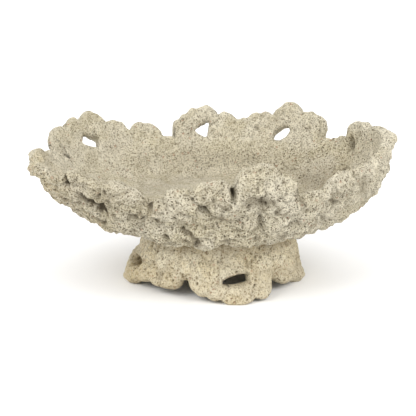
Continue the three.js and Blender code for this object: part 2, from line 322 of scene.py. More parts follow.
bowl = {
    "seatHeight": 82,  # of its underside, which lies on the foot
    "wall": 20,
    # pairs: for most of the bowl, and for its right end
    "flatRadius": (106, 147),
    "bendRadius": (165, 100),
    "bendTurn": (62, 78),
    "depthRatio": (1.3, 0.8),  # front to back against side to side, at the bottom and at the rim,
    "depthSpan": (80, 240),  # and the lengths along the section between which it changes
    # changes of the plan, as shares of the radius: all round, towards the right, and waves as (height,
    # number, phase), all in full from this length on
    "planTrim": -0.018,
    "planRight": -0.035,
    "planWaves": ((0.012, 3, 1), (0.008, 5, 2.2)),
    "planFrom": 200,
    "curl": 0.08,  # how far the tall right end leans back in, above this height
    "curlFrom": 160,
    "edgeRound": (5.5, 15),  # at the back, where the rim is a thin slab, and at the front, where it is stout
    # the grid
    "rings": 110,
    "crowding": 1.25,  # above 1, the rings lie closer together near the rim
    "usualLength": 258,  # of the section, as the inner rings take it
    "softDegrees": 8,  # the rim's soft form is smoothed over these
    "lobePower": 10,  # the higher, the nearer to the rim the small lobes begin
    "innerPart": 150,  # within this length the rim counts as far away
    "middle": (3.27, -0.18),  # where the part's origin lies in the drawing's own numbers
    # the rim's lobes: direction, half angle, height of the crest
    "lobes": [
        (2, 10, 201), (15, 8, 199), (27, 7, 198), (37, 6, 170), (45, 4.5, 162), (51.3, 3.8, 193),
        (56, 4.5, 195), (63.2, 5.4, 202), (70.5, 3, 189), (72.4, 5.6, 185), (79.5, 3.5, 175),
        (85.4, 4.5, 184), (93.7, 6.6, 191.5), (97.6, 3.2, 184), (101, 2.6, 174), (105.8, 3.2, 153),
        (113.9, 5.9, 172), (119.8, 2.6, 165), (124.6, 4.4, 179), (132, 4.8, 194), (138.5, 5, 190),
        (147, 6, 181), (160, 6, 158), (172, 9, 168), (185, 8, 161), (196, 8, 164), (206, 8, 175),
        (226, 10, 180), (240, 10, 174), (253.2, 3.4, 157), (259.7, 4.8, 173), (267.5, 3.6, 178),
        (272.3, 4.8, 182), (284, 7.5, 204), (291.5, 6, 187), (305.5, 5.5, 159), (318, 9, 179),
        (330, 8.5, 180), (340, 8, 186), (349, 9, 192),
    ],
    "lobeRelief": 3,
    "rimBase": 150,  # between the lobes, and how much higher or lower at the right and the left
    "rimTilt": 10,
    "rimRadius": 225,
    "rimRough": 3.8,
    "rimSizes": (17, 7),
    "rimKnobs": 0.8,  # the smaller noise against the larger one
    "rimDegrees": 0.7,  # the smoothing of its steps
    "thinnest": 5,  # the wall at its thinnest
    # holes through the back wall: direction, distance below the rim, outline as [right, up] seen from
    # the front
    "holes": [
        (136.8, 44, [(-12, -2), (-10, 11), (-2, 9), (9, 6), (11, -7), (0, -6)]),
        (92.9, 36.7, [(-12, -1), (-6, 4), (3, 10), (8, 12), (5, -10), (1, -10), (-8, -5)]),
        (64.3, 48, [(-10, -5), (-8, 1), (-1, 6), (4, 8), (12.5, 8), (13.5, 3), (8, -5), (0, -10), (-7, -10)]),
    ],
    "holeGrow": 1.06,  # the rounded lips take this much of a hole's sight again
    "holeRound": 9,
    "holeStep": 0.75,  # how far the wall round a hole moves inwards, as a share of what the lip takes off
    # relief as size and height: the whole wall's waves, then the inside's
    "wallWaves": (31, 2.2),
    "waves": (48, 1.6),
    "softLumps": (27, 1.3),
    "sand": (12, 1.9),
    "fineSand": (4.5, 0.6),
    "flatSand": 0.55,  # the share of the sand that the flat bottom keeps
    # a warp that bends what the outside reads: its size, and its reach in the lumps, knobs and pits
    "warpSize": 14,
    "warpLumps": (3.5, 2.5),
    "warpKnobs": 2,
    "warpPits": (1.2, 1.8),  # scattered and listed
    # the outside's relief
    "bigLumps": (38, 5.5),
    "smallLumps": (16, 2.6),
    "creases": (2.6, 0.8),  # depth between big lumps and between small ones
    "rubble": (13, 2.8),
    "ridges": (10, 3.3),
    "ridgeWay": (0.8, 0, -0.6),  # ridges run this way, stretched by a share
    "ridgeStretch": 0.62,
    "crumbs": (4.5, 1),
    "lobeSwell": 4,
    "setBack": 5,  # the relief starts this far inside, and further at the two ends
    "endsBack": 6,
    "reliefLow": 0.35,  # the share of it near the foot, and where it grows to its full height
    "reliefFrom": (100, 132),
    # knobs on the outside: direction, distance below the rim, radius, height
    "knobs": [(291, 74, 20, 6), (283.5, 26, 30, 5), (268, 30, 22, 3), (302, 24, 24, 5), (318, 18, 21, 4)],
    # scattered pits: spacing, share of the places that have one, smallest and largest radius, depth
    "innerPits": (14, 0.5, 1.8, 3.4, 2.2),
    "outerPits": (10, 0.85, 1.8, 3.8, 3.8),
    "smallPits": (7, 0.7, 1.4, 2.5, 2.8),
    # listed pits and clefts: their ragged outline as (size, share), the shares of the half width between
    # which they slope, and the list: side, both ends as (direction, distance below the rim), half width,
    # depth
    "ragged": (7, 0.25),
    "pitSlope": (0.3, 1.4),
    "pits": [
        ("upper", (29, 35), (28.4, 42), 6.5, 9),
        ("upper", (26.6, 92), (25.4, 76), 4, 6),
        ("upper", (73.5, 26), (73.8, 23), 3.5, 5),
        ("upper", (74.2, 56), (74.2, 52), 3.5, 4),
        ("upper", (52.8, 25), (52.8, 22), 3.5, 4),
        ("lower", (222.6, 5), (222.6, 12), 4.5, 10),
        ("lower", (227, 36), (231.4, 45), 10.5, 12),
        ("lower", (236.8, 25), (237.6, 31), 3.5, 6),
        ("lower", (250.4, 1), (250.8, 10), 5, 8),
        ("lower", (242.6, 52), (244.8, 55), 5.5, 8),
        ("lower", (266.2, 29), (269.4, 40), 3.4, 14),
        ("lower", (276.1, 2), (276.3, 10), 3, 16),
        ("lower", (281.5, 47), (285.8, 50), 11, 7),
        ("lower", (285, 54), (286.6, 54), 7, 9),
        ("lower", (286.4, 60), (285.8, 74), 3, 4),
        ("lower", (285.8, 77), (287.5, 97), 4, 6),
        ("lower", (286.5, 111), (286.5, 113), 5, 6),
        ("lower", (299.4, 1), (299.8, 5), 4, 5),
        ("lower", (304, 2), (303.6, 6), 3, 5),
        ("lower", (328, 22), (330, 34), 11, 6),
    ],
    "coarse": (0.58, 1),  # the pores of the inside, and of the front's crest
    # painted shade: between the ridges, and in each millimetre of a scattered pit
    "ridgePaintedShade": 0.62,  # between the ridges
    "pitPaintedShade": 0.14,  # for each millimetre of a scattered pit
    # patches as strength, direction, half angle: painted shade in the inner right corner, on the inner left
    # wall and on the front crest; darker towards the bottom at the back left; and ochre tints
    "cornerPaintedShade": (0.55, 29, 29),
    "leftPaintedShade": (0.12, 150, 45),
    "lowDarkening": (0.22, 128, 45),
    "crestPaintedShade": [(0.23, 236, 30), (0.08, 316, 12)],
    "cornerOchre": (0.3, 29, 29),
    "leftOchre": [(0.3, 180, 16), (0.6, 190, 30)],  # inside and outside
    "outerOchre": 0.06,
    # painted light, paler patches: the back wall's foot, the right end's lobe, the left end's back, the right
    # flank
    "backPaintedLight": (0.75, 88, 42),
    "rightPaintedLight": (0.7, 8, 13),
    "leftPaintedLight": (0.3, 155, 16),
    "flankPaintedLight": [(0.6, 338, 24), (0.7, 296, 10)],
}


# A value round the bowl, with another at its right end, blended by the cosine to the power 1.5.
def roundBowl(phi, pair):
    return mixed(pair[0], pair[1], np.maximum(0, np.cos(phi)) ** 1.5)


# The crest's height: the highest of the lobes, each one the cap of an ellipse, or else the base.
def rimHeight(phi):
    z = bowl["rimBase"] + bowl["rimTilt"] * np.cos(phi)
    for at, half, top in bowl["lobes"]:
        t = across(phi, at, half)
        z = np.where(abs(t) < 1, np.maximum(z, top - bowl["lobeRelief"] * half * (1 - cap(t))), z)
    return z


# The length along the section at which the wall reaches height z: flat bottom, arc, straight top.
def lengthTo(phi, z):
    flat, bend = roundBowl(phi, bowl["flatRadius"]), roundBowl(phi, bowl["bendRadius"])
    turn = np.radians(roundBowl(phi, bowl["bendTurn"]))
    floor = bowl["seatHeight"] + bowl["wall"] / 2
    arcTop = floor + bend * (1 - np.cos(turn))
    arc = flat + bend * np.arccos(np.clip(1 - (z - floor) / bend, -1, 1))
    return np.where(z < arcTop, arc, flat + bend * turn + (z - arcTop) / np.sin(turn))


# Where the rim lies along the section: at the lobes' height, made rough by two noises.
def rimLength(phi):
    radius, (large, small) = bowl["rimRadius"], bowl["rimSizes"]
    rough = ringNoise(phi, radius, large, 5) + bowl["rimKnobs"] * ringNoise(phi, radius, small, 9)
    return lengthTo(phi, rimHeight(phi)) + bowl["rimRough"] * rough


# The middle of the wall at a length along its section, and the direction out of its upper side.
def bowlMiddle(phi, length):
    flat, bend = roundBowl(phi, bowl["flatRadius"]), roundBowl(phi, bowl["bendRadius"])
    turn = np.radians(roundBowl(phi, bowl["bendTurn"]))
    alpha = np.clip((length - flat) / bend, 0, turn)
    past = np.maximum(0, length - flat - bend * turn)
    sway = sum(high * np.sin(count * phi + phase) for high, count, phase in bowl["planWaves"])
    trim = bowl["planTrim"] + bowl["planRight"] * np.cos(phi) + sway
    plan = 1 + trim * np.clip(length / bowl["planFrom"], 0, 1)
    radius = (np.minimum(length, flat) + bend * np.sin(alpha) + past * np.cos(alpha)) * plan
    z = bowl["seatHeight"] + bowl["wall"] / 2 + bend * (1 - np.cos(alpha)) + past * np.sin(alpha)
    radius = radius - bowl["curl"] * np.maximum(0, z - bowl["curlFrom"]) * np.maximum(0, np.cos(phi)) ** 4
    ratio = mixed(*bowl["depthRatio"], smooth(*bowl["depthSpan"], length))
    x, y = radius * np.cos(phi) - bowl["middle"][0], radius * ratio * np.sin(phi) - bowl["middle"][1]
    normal = (-np.sin(alpha) * np.cos(phi), -np.sin(alpha) * np.sin(phi), np.cos(alpha))
    return np.stack([x, y, z], axis=1), np.stack(normal, axis=1)


# The inside's relief: slow waves and soft lumps on the wall, and sand, which is finer at the bottom.
def bowlInside(inner, length, free):
    dome, crease, _ = lumpField(inner, bowl["softLumps"][0], 21)
    soft = bowl["softLumps"][1] * dome * smooth(60, 150, length)
    sand = relief(inner, bowl["sand"], 23) + relief(inner, bowl["fineSand"], 24, 1)
    swell = free * (relief(inner, bowl["waves"], 22) + soft) + mixed(bowl["flatSand"], 1, free) * sand
    return swell, pitField(inner, bowl["innerPits"], 25), 0.12 * crease


# The knobs of the outside, half balls at their listed places, and how near each corner is to one.
def bowlKnobs(outer, warp):
    knobs, near = np.zeros(len(outer)), np.zeros(len(outer))
    for at, below, size, high in bowl["knobs"]:
        at = np.radians([at])
        spot, way = bowlMiddle(at, lengthTo(at, rimHeight(at)) - below)
        gap = np.linalg.norm(outer + bowl["warpKnobs"] * warp - spot + way * (bowl["wall"] / 2), axis=1)
        knobs += high * cap(gap / size)
        near = np.maximum(near, 1 - smooth(0.5, 1.15, gap / size))
    return knobs, near


# The outside's relief: big soft lumps and small ones with creases between them, rubble, slanting ridges,
# crumbs and knobs, less the scattered pits. It is held back near the foot.
def bowlOutside(phi, length, rimGap, outer, warp):
    bigWarp, smallWarp = bowl["warpLumps"]
    big, bigCrease, bigMark = lumpField(outer + bigWarp * warp, bowl["bigLumps"][0], 31)
    small, smallCrease, _ = lumpField(outer + smallWarp * warp, bowl["smallLumps"][0], 32)
    bigCrease = bigCrease * (bigMark > 0.5)  # round half of the big lumps
    lumpy = bowl["bigLumps"][1] * big + bowl["smallLumps"][1] * small
    lumpy = lumpy - bowl["creases"][0] * bigCrease - bowl["creases"][1] * smallCrease
    knobs, near = bowlKnobs(outer, warp)
    slant = np.array(bowl["ridgeWay"])
    drawn = outer - bowl["ridgeStretch"] * (outer @ slant)[:, None] * slant
    ridge = roughNoise(drawn, bowl["ridges"][0], 37) * smooth(4, 34, rimGap) * (1 - 0.5 * near)
    crumbs = relief(outer, bowl["crumbs"], 34, 1)
    lumpy += relief(outer, bowl["rubble"], 33) + bowl["ridges"][1] * ridge + crumbs
    lobeSwell = bowl["lobeSwell"] * roundOff(rimGap, 24) * bell(np.minimum(rimGap, 90) / 60)
    pits = pitField(outer + bowl["warpPits"][0] * warp, bowl["outerPits"], 35)
    pits += pitField(outer, bowl["smallPits"], 36)
    # how far each end is set back, by the distance from the rim
    leftEnd = 1 + 0.9 * (1 - smooth(20, 45, rimGap)) + 0.8 * smooth(80, 110, rimGap)
    rightEnd = 1.3 - 1.3 * smooth(50, 100, rimGap) - 0.4 * bell((rimGap - 34) / 12)
    ends = abs(np.cos(phi)) ** 3 * smooth(0, 14, rimGap) * np.where(np.cos(phi) < 0, leftEnd, rightEnd)
    held = mixed(bowl["reliefLow"], 1, smooth(*bowl["reliefFrom"], length))
    out = (lumpy - bowl["setBack"] - bowl["endsBack"] * ends + lobeSwell) * held + knobs - pits
    return out, pits, ridge, 0.2 * bigCrease + 0.1 * smallCrease


# The depth of the listed clefts and pits on one side of the wall.
def listedPits(side, sheet, warp):
    offset = bowl["wall"] / 2 * (1 if side == "upper" else -1)
    ragged = 1 + relief(sheet, bowl["ragged"], 41, 1)
    depths = np.zeros(len(sheet))
    for which, start, end, halfWidth, depth in bowl["pits"]:
        if which == side:
            at = np.radians([start[0], end[0]])
            spots, ways = bowlMiddle(at, lengthTo(at, rimHeight(at)) - np.array([start[1], end[1]]))
            spots = spots + ways * offset
            bent = sheet + bowl["warpPits"][1] * warp
            depths = np.maximum(depths, dent(bent, ragged, spots, halfWidth, depth, bowl["pitSlope"]))
    return depths


# What the material needs to know, for the inside and the outside: how much painted shade (hollow), how
# coarse, how ochre and how much painted light each corner takes.
def bowlMarks(phi, length, rimGap, front, listed, pits, ridge, creases):
    corner = bell((length - 190) / 44)
    # painted shade in the inner right corner and on the inner left wall, then darker towards the bottom at
    # the back left
    darkening = tintPatch(phi, bowl["cornerPaintedShade"]) * corner + tintPatch(phi, bowl["leftPaintedShade"])
    darkening += tintPatch(phi, bowl["lowDarkening"]) * (1 - smooth(120, 170, length))
    # painted shade on the front crest, at the left and the right
    crest = sum(tintPatch(phi, spot) for spot in bowl["crestPaintedShade"]) * bell(rimGap / 32)
    rightSide = smooth(0.5, 0.9, np.cos(phi))
    # painted shade in the grooves between the ridges, less on the right side
    dents = bowl["ridgePaintedShade"] * smooth(0.1, 0.42, -ridge) * (1 - 0.35 * rightSide)
    # painted shade in each scattered pit, by its depth
    pitPaintedShade = [bowl["pitPaintedShade"] * depth for depth in pits]
    # The hollow mark is painted shade: the listed clefts and pits, the scattered pits, the creases and the
    # patches above.
    hollow = (
        np.clip(listed[0] / 12 + pitPaintedShade[0] + creases[0] + darkening + crest, 0, 1),
        np.clip(listed[1] / 13 + np.minimum(pitPaintedShade[1] + dents, 0.65) + creases[1] + crest, 0, 1),
    )
    rightInside = smooth(0.3, 0.9, np.cos(phi)) * smooth(90, 160, length)
    coarse = (
        np.clip(mixed(*bowl["coarse"], front * (1 - smooth(15, 40, rimGap))) + 0.5 * rightInside, 0, 1),
        1 - 0.35 * rightSide,
    )
    ochre = (
        tintPatch(phi, bowl["cornerOchre"]) * corner + tintPatch(phi, bowl["leftOchre"][0]),
        bowl["outerOchre"] + tintPatch(phi, bowl["leftOchre"][1]),
    )
    # painted light: paler patches at the back wall's foot, the right end's lobe, the left end's back and the
    # right flank
    inside = tintPatch(phi, bowl["backPaintedLight"]) * bell((length - 186) / 32)
    inside += tintPatch(phi, bowl["rightPaintedLight"]) * smooth(205, 235, length)
    inside += tintPatch(phi, bowl["leftPaintedLight"]) * smooth(190, 225, length)
    flank = sum(tintPatch(phi, spot) for spot in bowl["flankPaintedLight"]) * bell((rimGap - 34) / 34)
    return {"hollow": hollow, "coarse": coarse, "ochre": ochre, "paintedLight": (inside, flank)}


# The bowl's piece: rings of corners out to the rim, three holes opened, then both sides of the wall.
def makeBowl():
    phi, rho, triangles = discGrid(bowl["rings"])
    rim = eased(rimLength, bowl["rimDegrees"])
    length = ringLengths(phi, rho, rim, bowl)
    gone, border = np.zeros(len(phi), bool), np.zeros(len(phi), bool)
    holeGap = np.full(len(phi), farAway)
    for at, below, outline in bowl["holes"]:
        at = math.radians(at)
        here = np.array([at])
        middle = float(lengthTo(here, rimHeight(here))[0]) - below
        spread = float(np.hypot(*bowlMiddle(here, np.array([middle]))[0][0, :2]))
        phi, length, inside, ring, gap = cutHole(
            phi, length, triangles, bowlMiddle, at, middle, spread, outline, bowl["holeGrow"])
        gone, border, holeGap = gone | inside, border | ring, np.minimum(holeGap, gap)
    rimGap = edgeGap(phi, rho, length, rim, bowlMiddle, bowl["innerPart"])
    front = smooth(-0.1, 0.5, -np.sin(phi))  # 1 at the front, 0 at the back
    lip = roundOff(holeGap, bowl["holeRound"])
    keep = roundOff(rimGap, mixed(*bowl["edgeRound"], front)) * lip
    place, normal = bowlMiddle(phi, length)
    free = smooth(0, 25, length - roundBowl(phi, bowl["flatRadius"]))  # 0 on the flat bottom
    half = bowl["wall"] / 2
    waves = relief(place, bowl["wallWaves"], 3, 1) * free
    place = place + normal * (waves + bowl["holeStep"] * (half * (1 - lip)))[:, None]
    inner, outer = place + normal * half, place - normal * half
    warp = noiseVector(outer, bowl["warpSize"], 71)
    swell, innerPits, innerCreases = bowlInside(inner, length, free)
    out, outerPits, ridge, outerCreases = bowlOutside(phi, length, rimGap, outer, warp)
    listed = (listedPits("upper", inner, warp), listedPits("lower", outer, warp))
    # Both sheets. The outer one is calm in a cleft, flat on the foot, and keeps the wall's least thickness.
    up = keep * (swell - free * innerPits) - listed[0] * keep
    calm = 1 - 0.8 * np.clip(listed[1] / 8, 0, 1)
    down = keep * (out * smooth(98, 118, length) * calm) - listed[1] * keep
    down = np.maximum(down, bowl["thinnest"] - 2 * half * keep - np.minimum(up, 0))
    down = np.where(keep > 0.05, down, 0)
    upper = place + normal * (half * keep + up)[:, None]
    lower = place - normal * (half * keep + down)[:, None]
    pits, creases = (innerPits, outerPits), (innerCreases, outerCreases)
    marks = bowlMarks(phi, length, rimGap, front, listed, pits, ridge, creases)
    return shellMesh("coral_bowl", upper, lower, triangles, border | (rho == 1), gone, marks)


# The foot

foot = {
    "middleX": 5,
    "wall": 18,
    "plateRadius": 83,
    "shoulderRadius": 14,
    "shoulderTurn": math.radians(79),
    "joinGap": 0.3,  # between the foot's top and the bowl
    "edgeRound": 6.5,
    "rings": 88,
    "crowding": 1.2,
    "usualLength": 155,
    "softDegrees": 12,
    "lobePower": 6,
    "innerPart": 100,
    # the hem's lobes: direction, half angle, height of the lowest point, how far it stands out
    "lobes": [
        (8, 12, 4, 0), (30, 13, -2, 2), (55, 15, 4, 5), (80, 14, -2, 10), (105, 14, 5, 2),
        (128, 13, -2, 8), (152, 14, 4, 5), (174, 10, 6, 2), (194, 15, -2, 7), (212, 9, 9, 3),
        (230, 12, 7, 4), (238.5, 7.5, 8.5, 0), (247, 8, 22, 2), (263, 12, 7, 8), (270, 6.5, 3, 8),
        (283, 14, -2, 22), (300, 11, 2, 16), (315, 7, 17, 0), (326, 10, 9, 3), (338, 9, 5, 0),
        (352, 13, -2, 3),
    ],
    "lobeRelief": 1.4,
    "archHeight": 30,
    "hemRadius": 115,
    "hemRough": 2.6,
    "hemSize": 12,
    "hemDegrees": 0.9,
    "thinnest": 3.5,
    # how the lobes stand out down the skirt: the length for their full reach, the most, and the power
    "flareLength": 62,
    "flareMost": 1.2,
    "flarePower": 2.2,
    # the left end is narrow at the top, and has a small shoulder under that: direction and half angle,
    # how much narrower, down to which lengths of the skirt, and how far the shoulder stands out
    "leftEnd": (188, 32),
    "leftNarrow": 11,
    "leftSpan": (24, 33),
    "leftShoulder": 2.5,
    # the slit over the front lobe: direction, height, outline as [right, up] seen from the front
    "slit": (283, 27, [(-15, -3), (-8, 2), (4, 6), (14, 7), (15, -2), (5, -4), (-12, -6)]),
    "slitSpread": 118,  # the skirt's radius there
    "slitGrow": 1.1,
    "slitRound": 5,
    # relief as size and height
    "bigLumps": (33, 3),
    "smallLumps": (14, 1.3),
    "creases": (0.7, 0.4),
    "rubble": (9, 1.3),
    "crumbs": (3.6, 0.4),
    "lobeSwell": 2,
    "setBack": 1,
    "hollowWaves": (22, 1.4),  # on the side that faces the table
    "hollowSand": (5, 0.5),
    # scattered pits: spacing, share of the places that have one, smallest and largest radius, depth
    "smallPits": (7, 0.75, 1.3, 2.5, 3),
    # listed pits, in the same way: both ends as (direction, height), half width, depth. The first is the
    # pocket at the left end.
    "warpSize": 13,
    "warpPits": 3,
    "ragged": (8, 0.25),
    "pitSlope": (0.45, 1.15),
    "pits": [
        ((190, 31), (205.5, 30.5), 8.2, 12),
        ((213, 66), (213, 55), 2.5, 3.5),
        ((221.5, 60), (221.5, 54), 4.5, 6),
        ((230.5, 29), (231, 28), 3.5, 4.5),
        ((287, 66), (288, 58), 2, 3),
        ((288, 58), (293, 46), 2, 3),
    ],
    # what the material needs to know, outside and inside
    "coarse": (0.7, 0.5),
    "ochre": (0.14, 0.3),
    # painted shade on the side that faces the table
    "innerHollow": 0.05,
    "leftOchre": (0.4, 198, 20),  # strength, direction, half angle
}
plateMiddle = bowl["seatHeight"] - foot["joinGap"] - foot["wall"] / 2  # the height of the top's middle


# The hem's height: the lowest of the lobes, each one the cap of an ellipse, or else the arches.
def hemHeight(phi):
    z = np.full(len(phi), float(foot["archHeight"]))
    for at, half, low, out in foot["lobes"]:
        t = across(phi, at, half)
        z = np.where(abs(t) < 1, np.minimum(z, low + foot["lobeRelief"] * half * (1 - cap(t))), z)
    return z


# The length along the foot's section at which its skirt comes down to height z.
def skirtLength(z):
    turn = foot["shoulderTurn"]
    top = plateMiddle - foot["shoulderRadius"] * (1 - math.cos(turn))
    return foot["plateRadius"] + foot["shoulderRadius"] * turn + (top - z) / math.sin(turn)


# Where the hem lies along the section, made rough by noise.
def hemLength(phi):
    rough = foot["hemRough"] * ringNoise(phi, foot["hemRadius"], foot["hemSize"], 6)
    return skirtLength(hemHeight(phi)) + rough


# The middle of the foot's wall at a length along its section, and the direction out of its upper side:
# a flat plate, a round shoulder, and a skirt that the lobes pull outwards as they near the table.
def footMiddle(phi, length):
    turn, shoulder = foot["shoulderTurn"], foot["shoulderRadius"]
    alpha = np.clip((length - foot["plateRadius"]) / shoulder, 0, turn)
    past = np.maximum(0, length - foot["plateRadius"] - shoulder * turn)
    stand = sum(out * bell(across(phi, at, half)) for at, half, low, out in foot["lobes"])
    reach = np.clip(past / foot["flareLength"], 0, foot["flareMost"]) ** foot["flarePower"]
    flare = past * math.cos(turn) + stand * reach
    leftEnd = bell(across(phi, *foot["leftEnd"]))
    top = (1 - smooth(*foot["leftSpan"], past)) * smooth(40, foot["plateRadius"], length)
    flare -= foot["leftNarrow"] * leftEnd * top
    flare += foot["leftShoulder"] * leftEnd * bell((past - 42) / 10)
    radius = np.minimum(length, foot["plateRadius"]) + shoulder * np.sin(alpha) + flare
    z = plateMiddle - shoulder * (1 - np.cos(alpha)) - past * math.sin(turn)
    x = foot["middleX"] + radius * np.cos(phi) - bowl["middle"][0]
    y = radius * np.sin(phi) - bowl["middle"][1]
    normal = (np.sin(alpha) * np.cos(phi), np.sin(alpha) * np.sin(phi), np.cos(alpha))
    return np.stack([x, y, z], axis=1), np.stack(normal, axis=1)


# The skirt's relief, in the same way as the bowl's outside but softer, its pits, and its creases.
def footOutside(hemGap, outer):
    big, bigCrease, bigMark = lumpField(outer, foot["bigLumps"][0], 51)
    small, smallCrease, _ = lumpField(outer, foot["smallLumps"][0], 52)
    bigCrease = bigCrease * (bigMark > 0.5)
    lumpy = foot["bigLumps"][1] * big + foot["smallLumps"][1] * small
    lumpy = lumpy - foot["creases"][0] * bigCrease - foot["creases"][1] * smallCrease - foot["setBack"]
    lumpy += relief(outer, foot["rubble"], 53, 2) + relief(outer, foot["crumbs"], 54, 1)
    lobeSwell = foot["lobeSwell"] * roundOff(hemGap, 20) * bell(np.minimum(hemGap, 60) / 32)
    pits = pitField(outer, foot["smallPits"], 55)
    return lumpy + lobeSwell - pits, pits, 0.2 * bigCrease + 0.1 * smallCrease


# The depth of the pocket and the other listed pits.
def footPits(outer):
    bent = outer + foot["warpPits"] * noiseVector(outer, foot["warpSize"], 81, 2)
    ragged = 1 + relief(outer, foot["ragged"], 61, 1)
    depths = np.zeros(len(outer))
    for start, end, halfWidth, depth in foot["pits"]:
        at = np.radians([start[0], end[0]])
        spots, ways = footMiddle(at, skirtLength(np.array([start[1], end[1]])))
        spots = spots + ways * (foot["wall"] / 2)
        depths = np.maximum(depths, dent(bent, ragged, spots, halfWidth, depth, foot["pitSlope"]))
    return depths


# The foot's piece, in the same way: rings out to the hem, the slit opened, then both sides.
def makeFoot():
    phi, rho, triangles = discGrid(foot["rings"])
    hem = eased(hemLength, foot["hemDegrees"])
    length = ringLengths(phi, rho, hem, foot)
    at, height, outline = foot["slit"]
    phi, length, gone, border, slitGap = cutHole(
        phi, length, triangles, footMiddle, math.radians(at), skirtLength(height), foot["slitSpread"],
        outline, foot["slitGrow"])
    hemGap = edgeGap(phi, rho, length, hem, footMiddle, foot["innerPart"])
    keep = roundOff(hemGap, foot["edgeRound"]) * roundOff(slitGap, foot["slitRound"])
    place, normal = footMiddle(phi, length)
    free = smooth(0, 16, length - foot["plateRadius"] - 8)  # 0 where the bowl lies on it
    half = foot["wall"] / 2
    inner, outer = place - normal * half, place + normal * half
    out, pits, creases = footOutside(hemGap, outer)
    listed = footPits(outer)
    rough = relief(inner, foot["hollowWaves"], 56) + relief(inner, foot["hollowSand"], 57, 1)
    up = keep * free * out - listed * keep
    up = np.maximum(up, foot["thinnest"] - 2 * half * keep)
    up = np.where(keep > 0.05, up, 0)
    upper = place + normal * (half * keep + up)[:, None]
    lower = place - normal * (half * keep + keep * free * rough)[:, None]
    upper[:, 2] = np.clip(upper[:, 2], 0, bowl["seatHeight"] - foot["joinGap"])
    lower[:, 2] = np.maximum(lower[:, 2], 0)
    # painted shade under the bowl, and a little near the table
    darkening = 0.6 * smooth(48, 74, place[:, 2]) + 0.25 * (1 - smooth(20, 45, place[:, 2]))
    ones = np.ones(len(phi))
    marks = {
        # the hollow mark is painted shade: the listed and scattered pits, the creases, under the bowl, near
        # the table, and faintly on the side that faces the table
        "hollow": (np.clip(listed / 18 + 0.15 * pits + creases + darkening, 0, 1), foot["innerHollow"] * ones),
        "coarse": (foot["coarse"][0] * ones, foot["coarse"][1] * ones),
        "ochre": (foot["ochre"][0] + tintPatch(phi, foot["leftOchre"]), foot["ochre"][1] * ones),
        "paintedLight": (0 * ones, 0 * ones),
    }
    return shellMesh("coral_foot", upper, lower, triangles, border | (rho == 1), gone, marks)


coralBowl = makeBowl()
coralFoot = makeFoot()


# Materials

# A socket that can be reckoned with: + - * on it, with a number or another socket, add Math nodes.
class Field:
    def __init__(self, tree, socket):
        self.tree, self.socket = tree, socket

    def node(self, kind, settings=None, inputs=None, output=0):
        made = self.tree.nodes.new(kind)
        for key, value in (settings or {}).items():
            setattr(made, key, value)
        for key, value in (inputs or {}).items():
            if isinstance(value, Field):
                self.tree.links.new(value.socket, made.inputs[key])
            else:
                made.inputs[key].default_value = value
        return Field(self.tree, made.outputs[output])

    def math(self, operation, first, second):
        return self.node("ShaderNodeMath", {"operation": operation}, {0: first, 1: second})

    def __add__(self, other):
        return self.math("ADD", self, other)

    def __radd__(self, other):
        return self.math("ADD", other, self)

    def __sub__(self, other):
        return self.math("SUBTRACT", self, other)

    def __rsub__(self, other):
        return self.math("SUBTRACT", other, self)

    def __mul__(self, other):
        return self.math("MULTIPLY", self, other)

    def __rmul__(self, other):
        return self.math("MULTIPLY", other, self)

    # The value that a mesh carries under a name.
    def mark(self, name):
        return self.node("ShaderNodeAttribute", {"attribute_name": name}, None, 2)

    def noise(self, scale, detail, rough):
        return self.node("ShaderNodeTexNoise", None,
                         {"Vector": self, "Scale": scale, "Detail": detail, "Roughness": rough})

    # Distance to the nearest of scattered points.
    def seeds(self, scale):
        return self.node("ShaderNodeTexVoronoi", None, {"Vector": self, "Scale": scale})

    # From 0 at low to 1 at high, eased at both ends. Low may be the larger.
    def step(self, low, high):
        return self.node("ShaderNodeMapRange", {"interpolation_type": "SMOOTHSTEP"},
                         {"Value": self, "From Min": low, "From Max": high})

    # One colour where this is 0 and another where it is 1.
    def blend(self, first, second):
        return self.node("ShaderNodeMix", {"data_type": "RGBA"}, {0: self, 6: first, 7: second}, 2)


# A colour from the 0 to 255 of a screen.
def colour(red, green, blue):
    linear = [((v / 255 + 0.055) / 1.055) ** 2.4 for v in (red, green, blue)]
    return (*linear, 1)


bowlFinish = {
    "name": "coral_stone_grey",
    "pale": colour(225, 217, 195),
    "warm": colour(207, 197, 168),
    "grey": colour(199, 190, 167),
    # dark serves the grain and the mottle, and the painted shade in the hollows
    "dark": colour(112, 100, 76),
    "pore": colour(88, 76, 54),
    "rust": colour(168, 112, 84),
    # the tone of the deepest painted shade
    "deep": colour(58, 49, 35),
    "ochre": colour(172, 148, 104),
    "grain": 0.72,
    "poreScale": 265,
    "bump": 1.0,
}
footFinish = {
    "name": "coral_stone_cream",
    "pale": colour(240, 232, 207),
    "warm": colour(231, 218, 184),
    "grey": colour(222, 210, 178),
    # dark serves the grain and the mottle, and the painted shade in the hollows
    "dark": colour(130, 108, 72),
    "pore": colour(122, 96, 62),
    "rust": colour(168, 112, 84),
    # the tone of the deepest painted shade
    "deep": colour(92, 78, 50),
    "ochre": colour(212, 190, 140),
    "grain": 0.48,
    "poreScale": 220,
    "bump": 0.9,
}
# what the two finishes share: features to a metre, then how strongly each thing tints
stoneLook = {
    "stainScale": 9,
    "patchScale": 24,
    "clusterScale": 55,
    "rustScale": 75,
    "mottleScale": 170,
    "warpScale": 260,
    "warp": 0.004,  # metres
    "grainScale": 520,
    "finePores": 1.6,  # times the pores' scale
    "tintPatch": 0.5,
    "mottle": 0.22,
    "crest": 0.65,
    "finePore": 0.55,
    "pore": 0.95,
    "rust": 0.4,
    # the strength of the painted shade in the hollows, and of its deepest tone
    "hollow": 0.8,
    "deep": 0.85,
    "bumpDistance": 0.0026,
    "roughness": 0.96,
    "specular": 0.25,
}
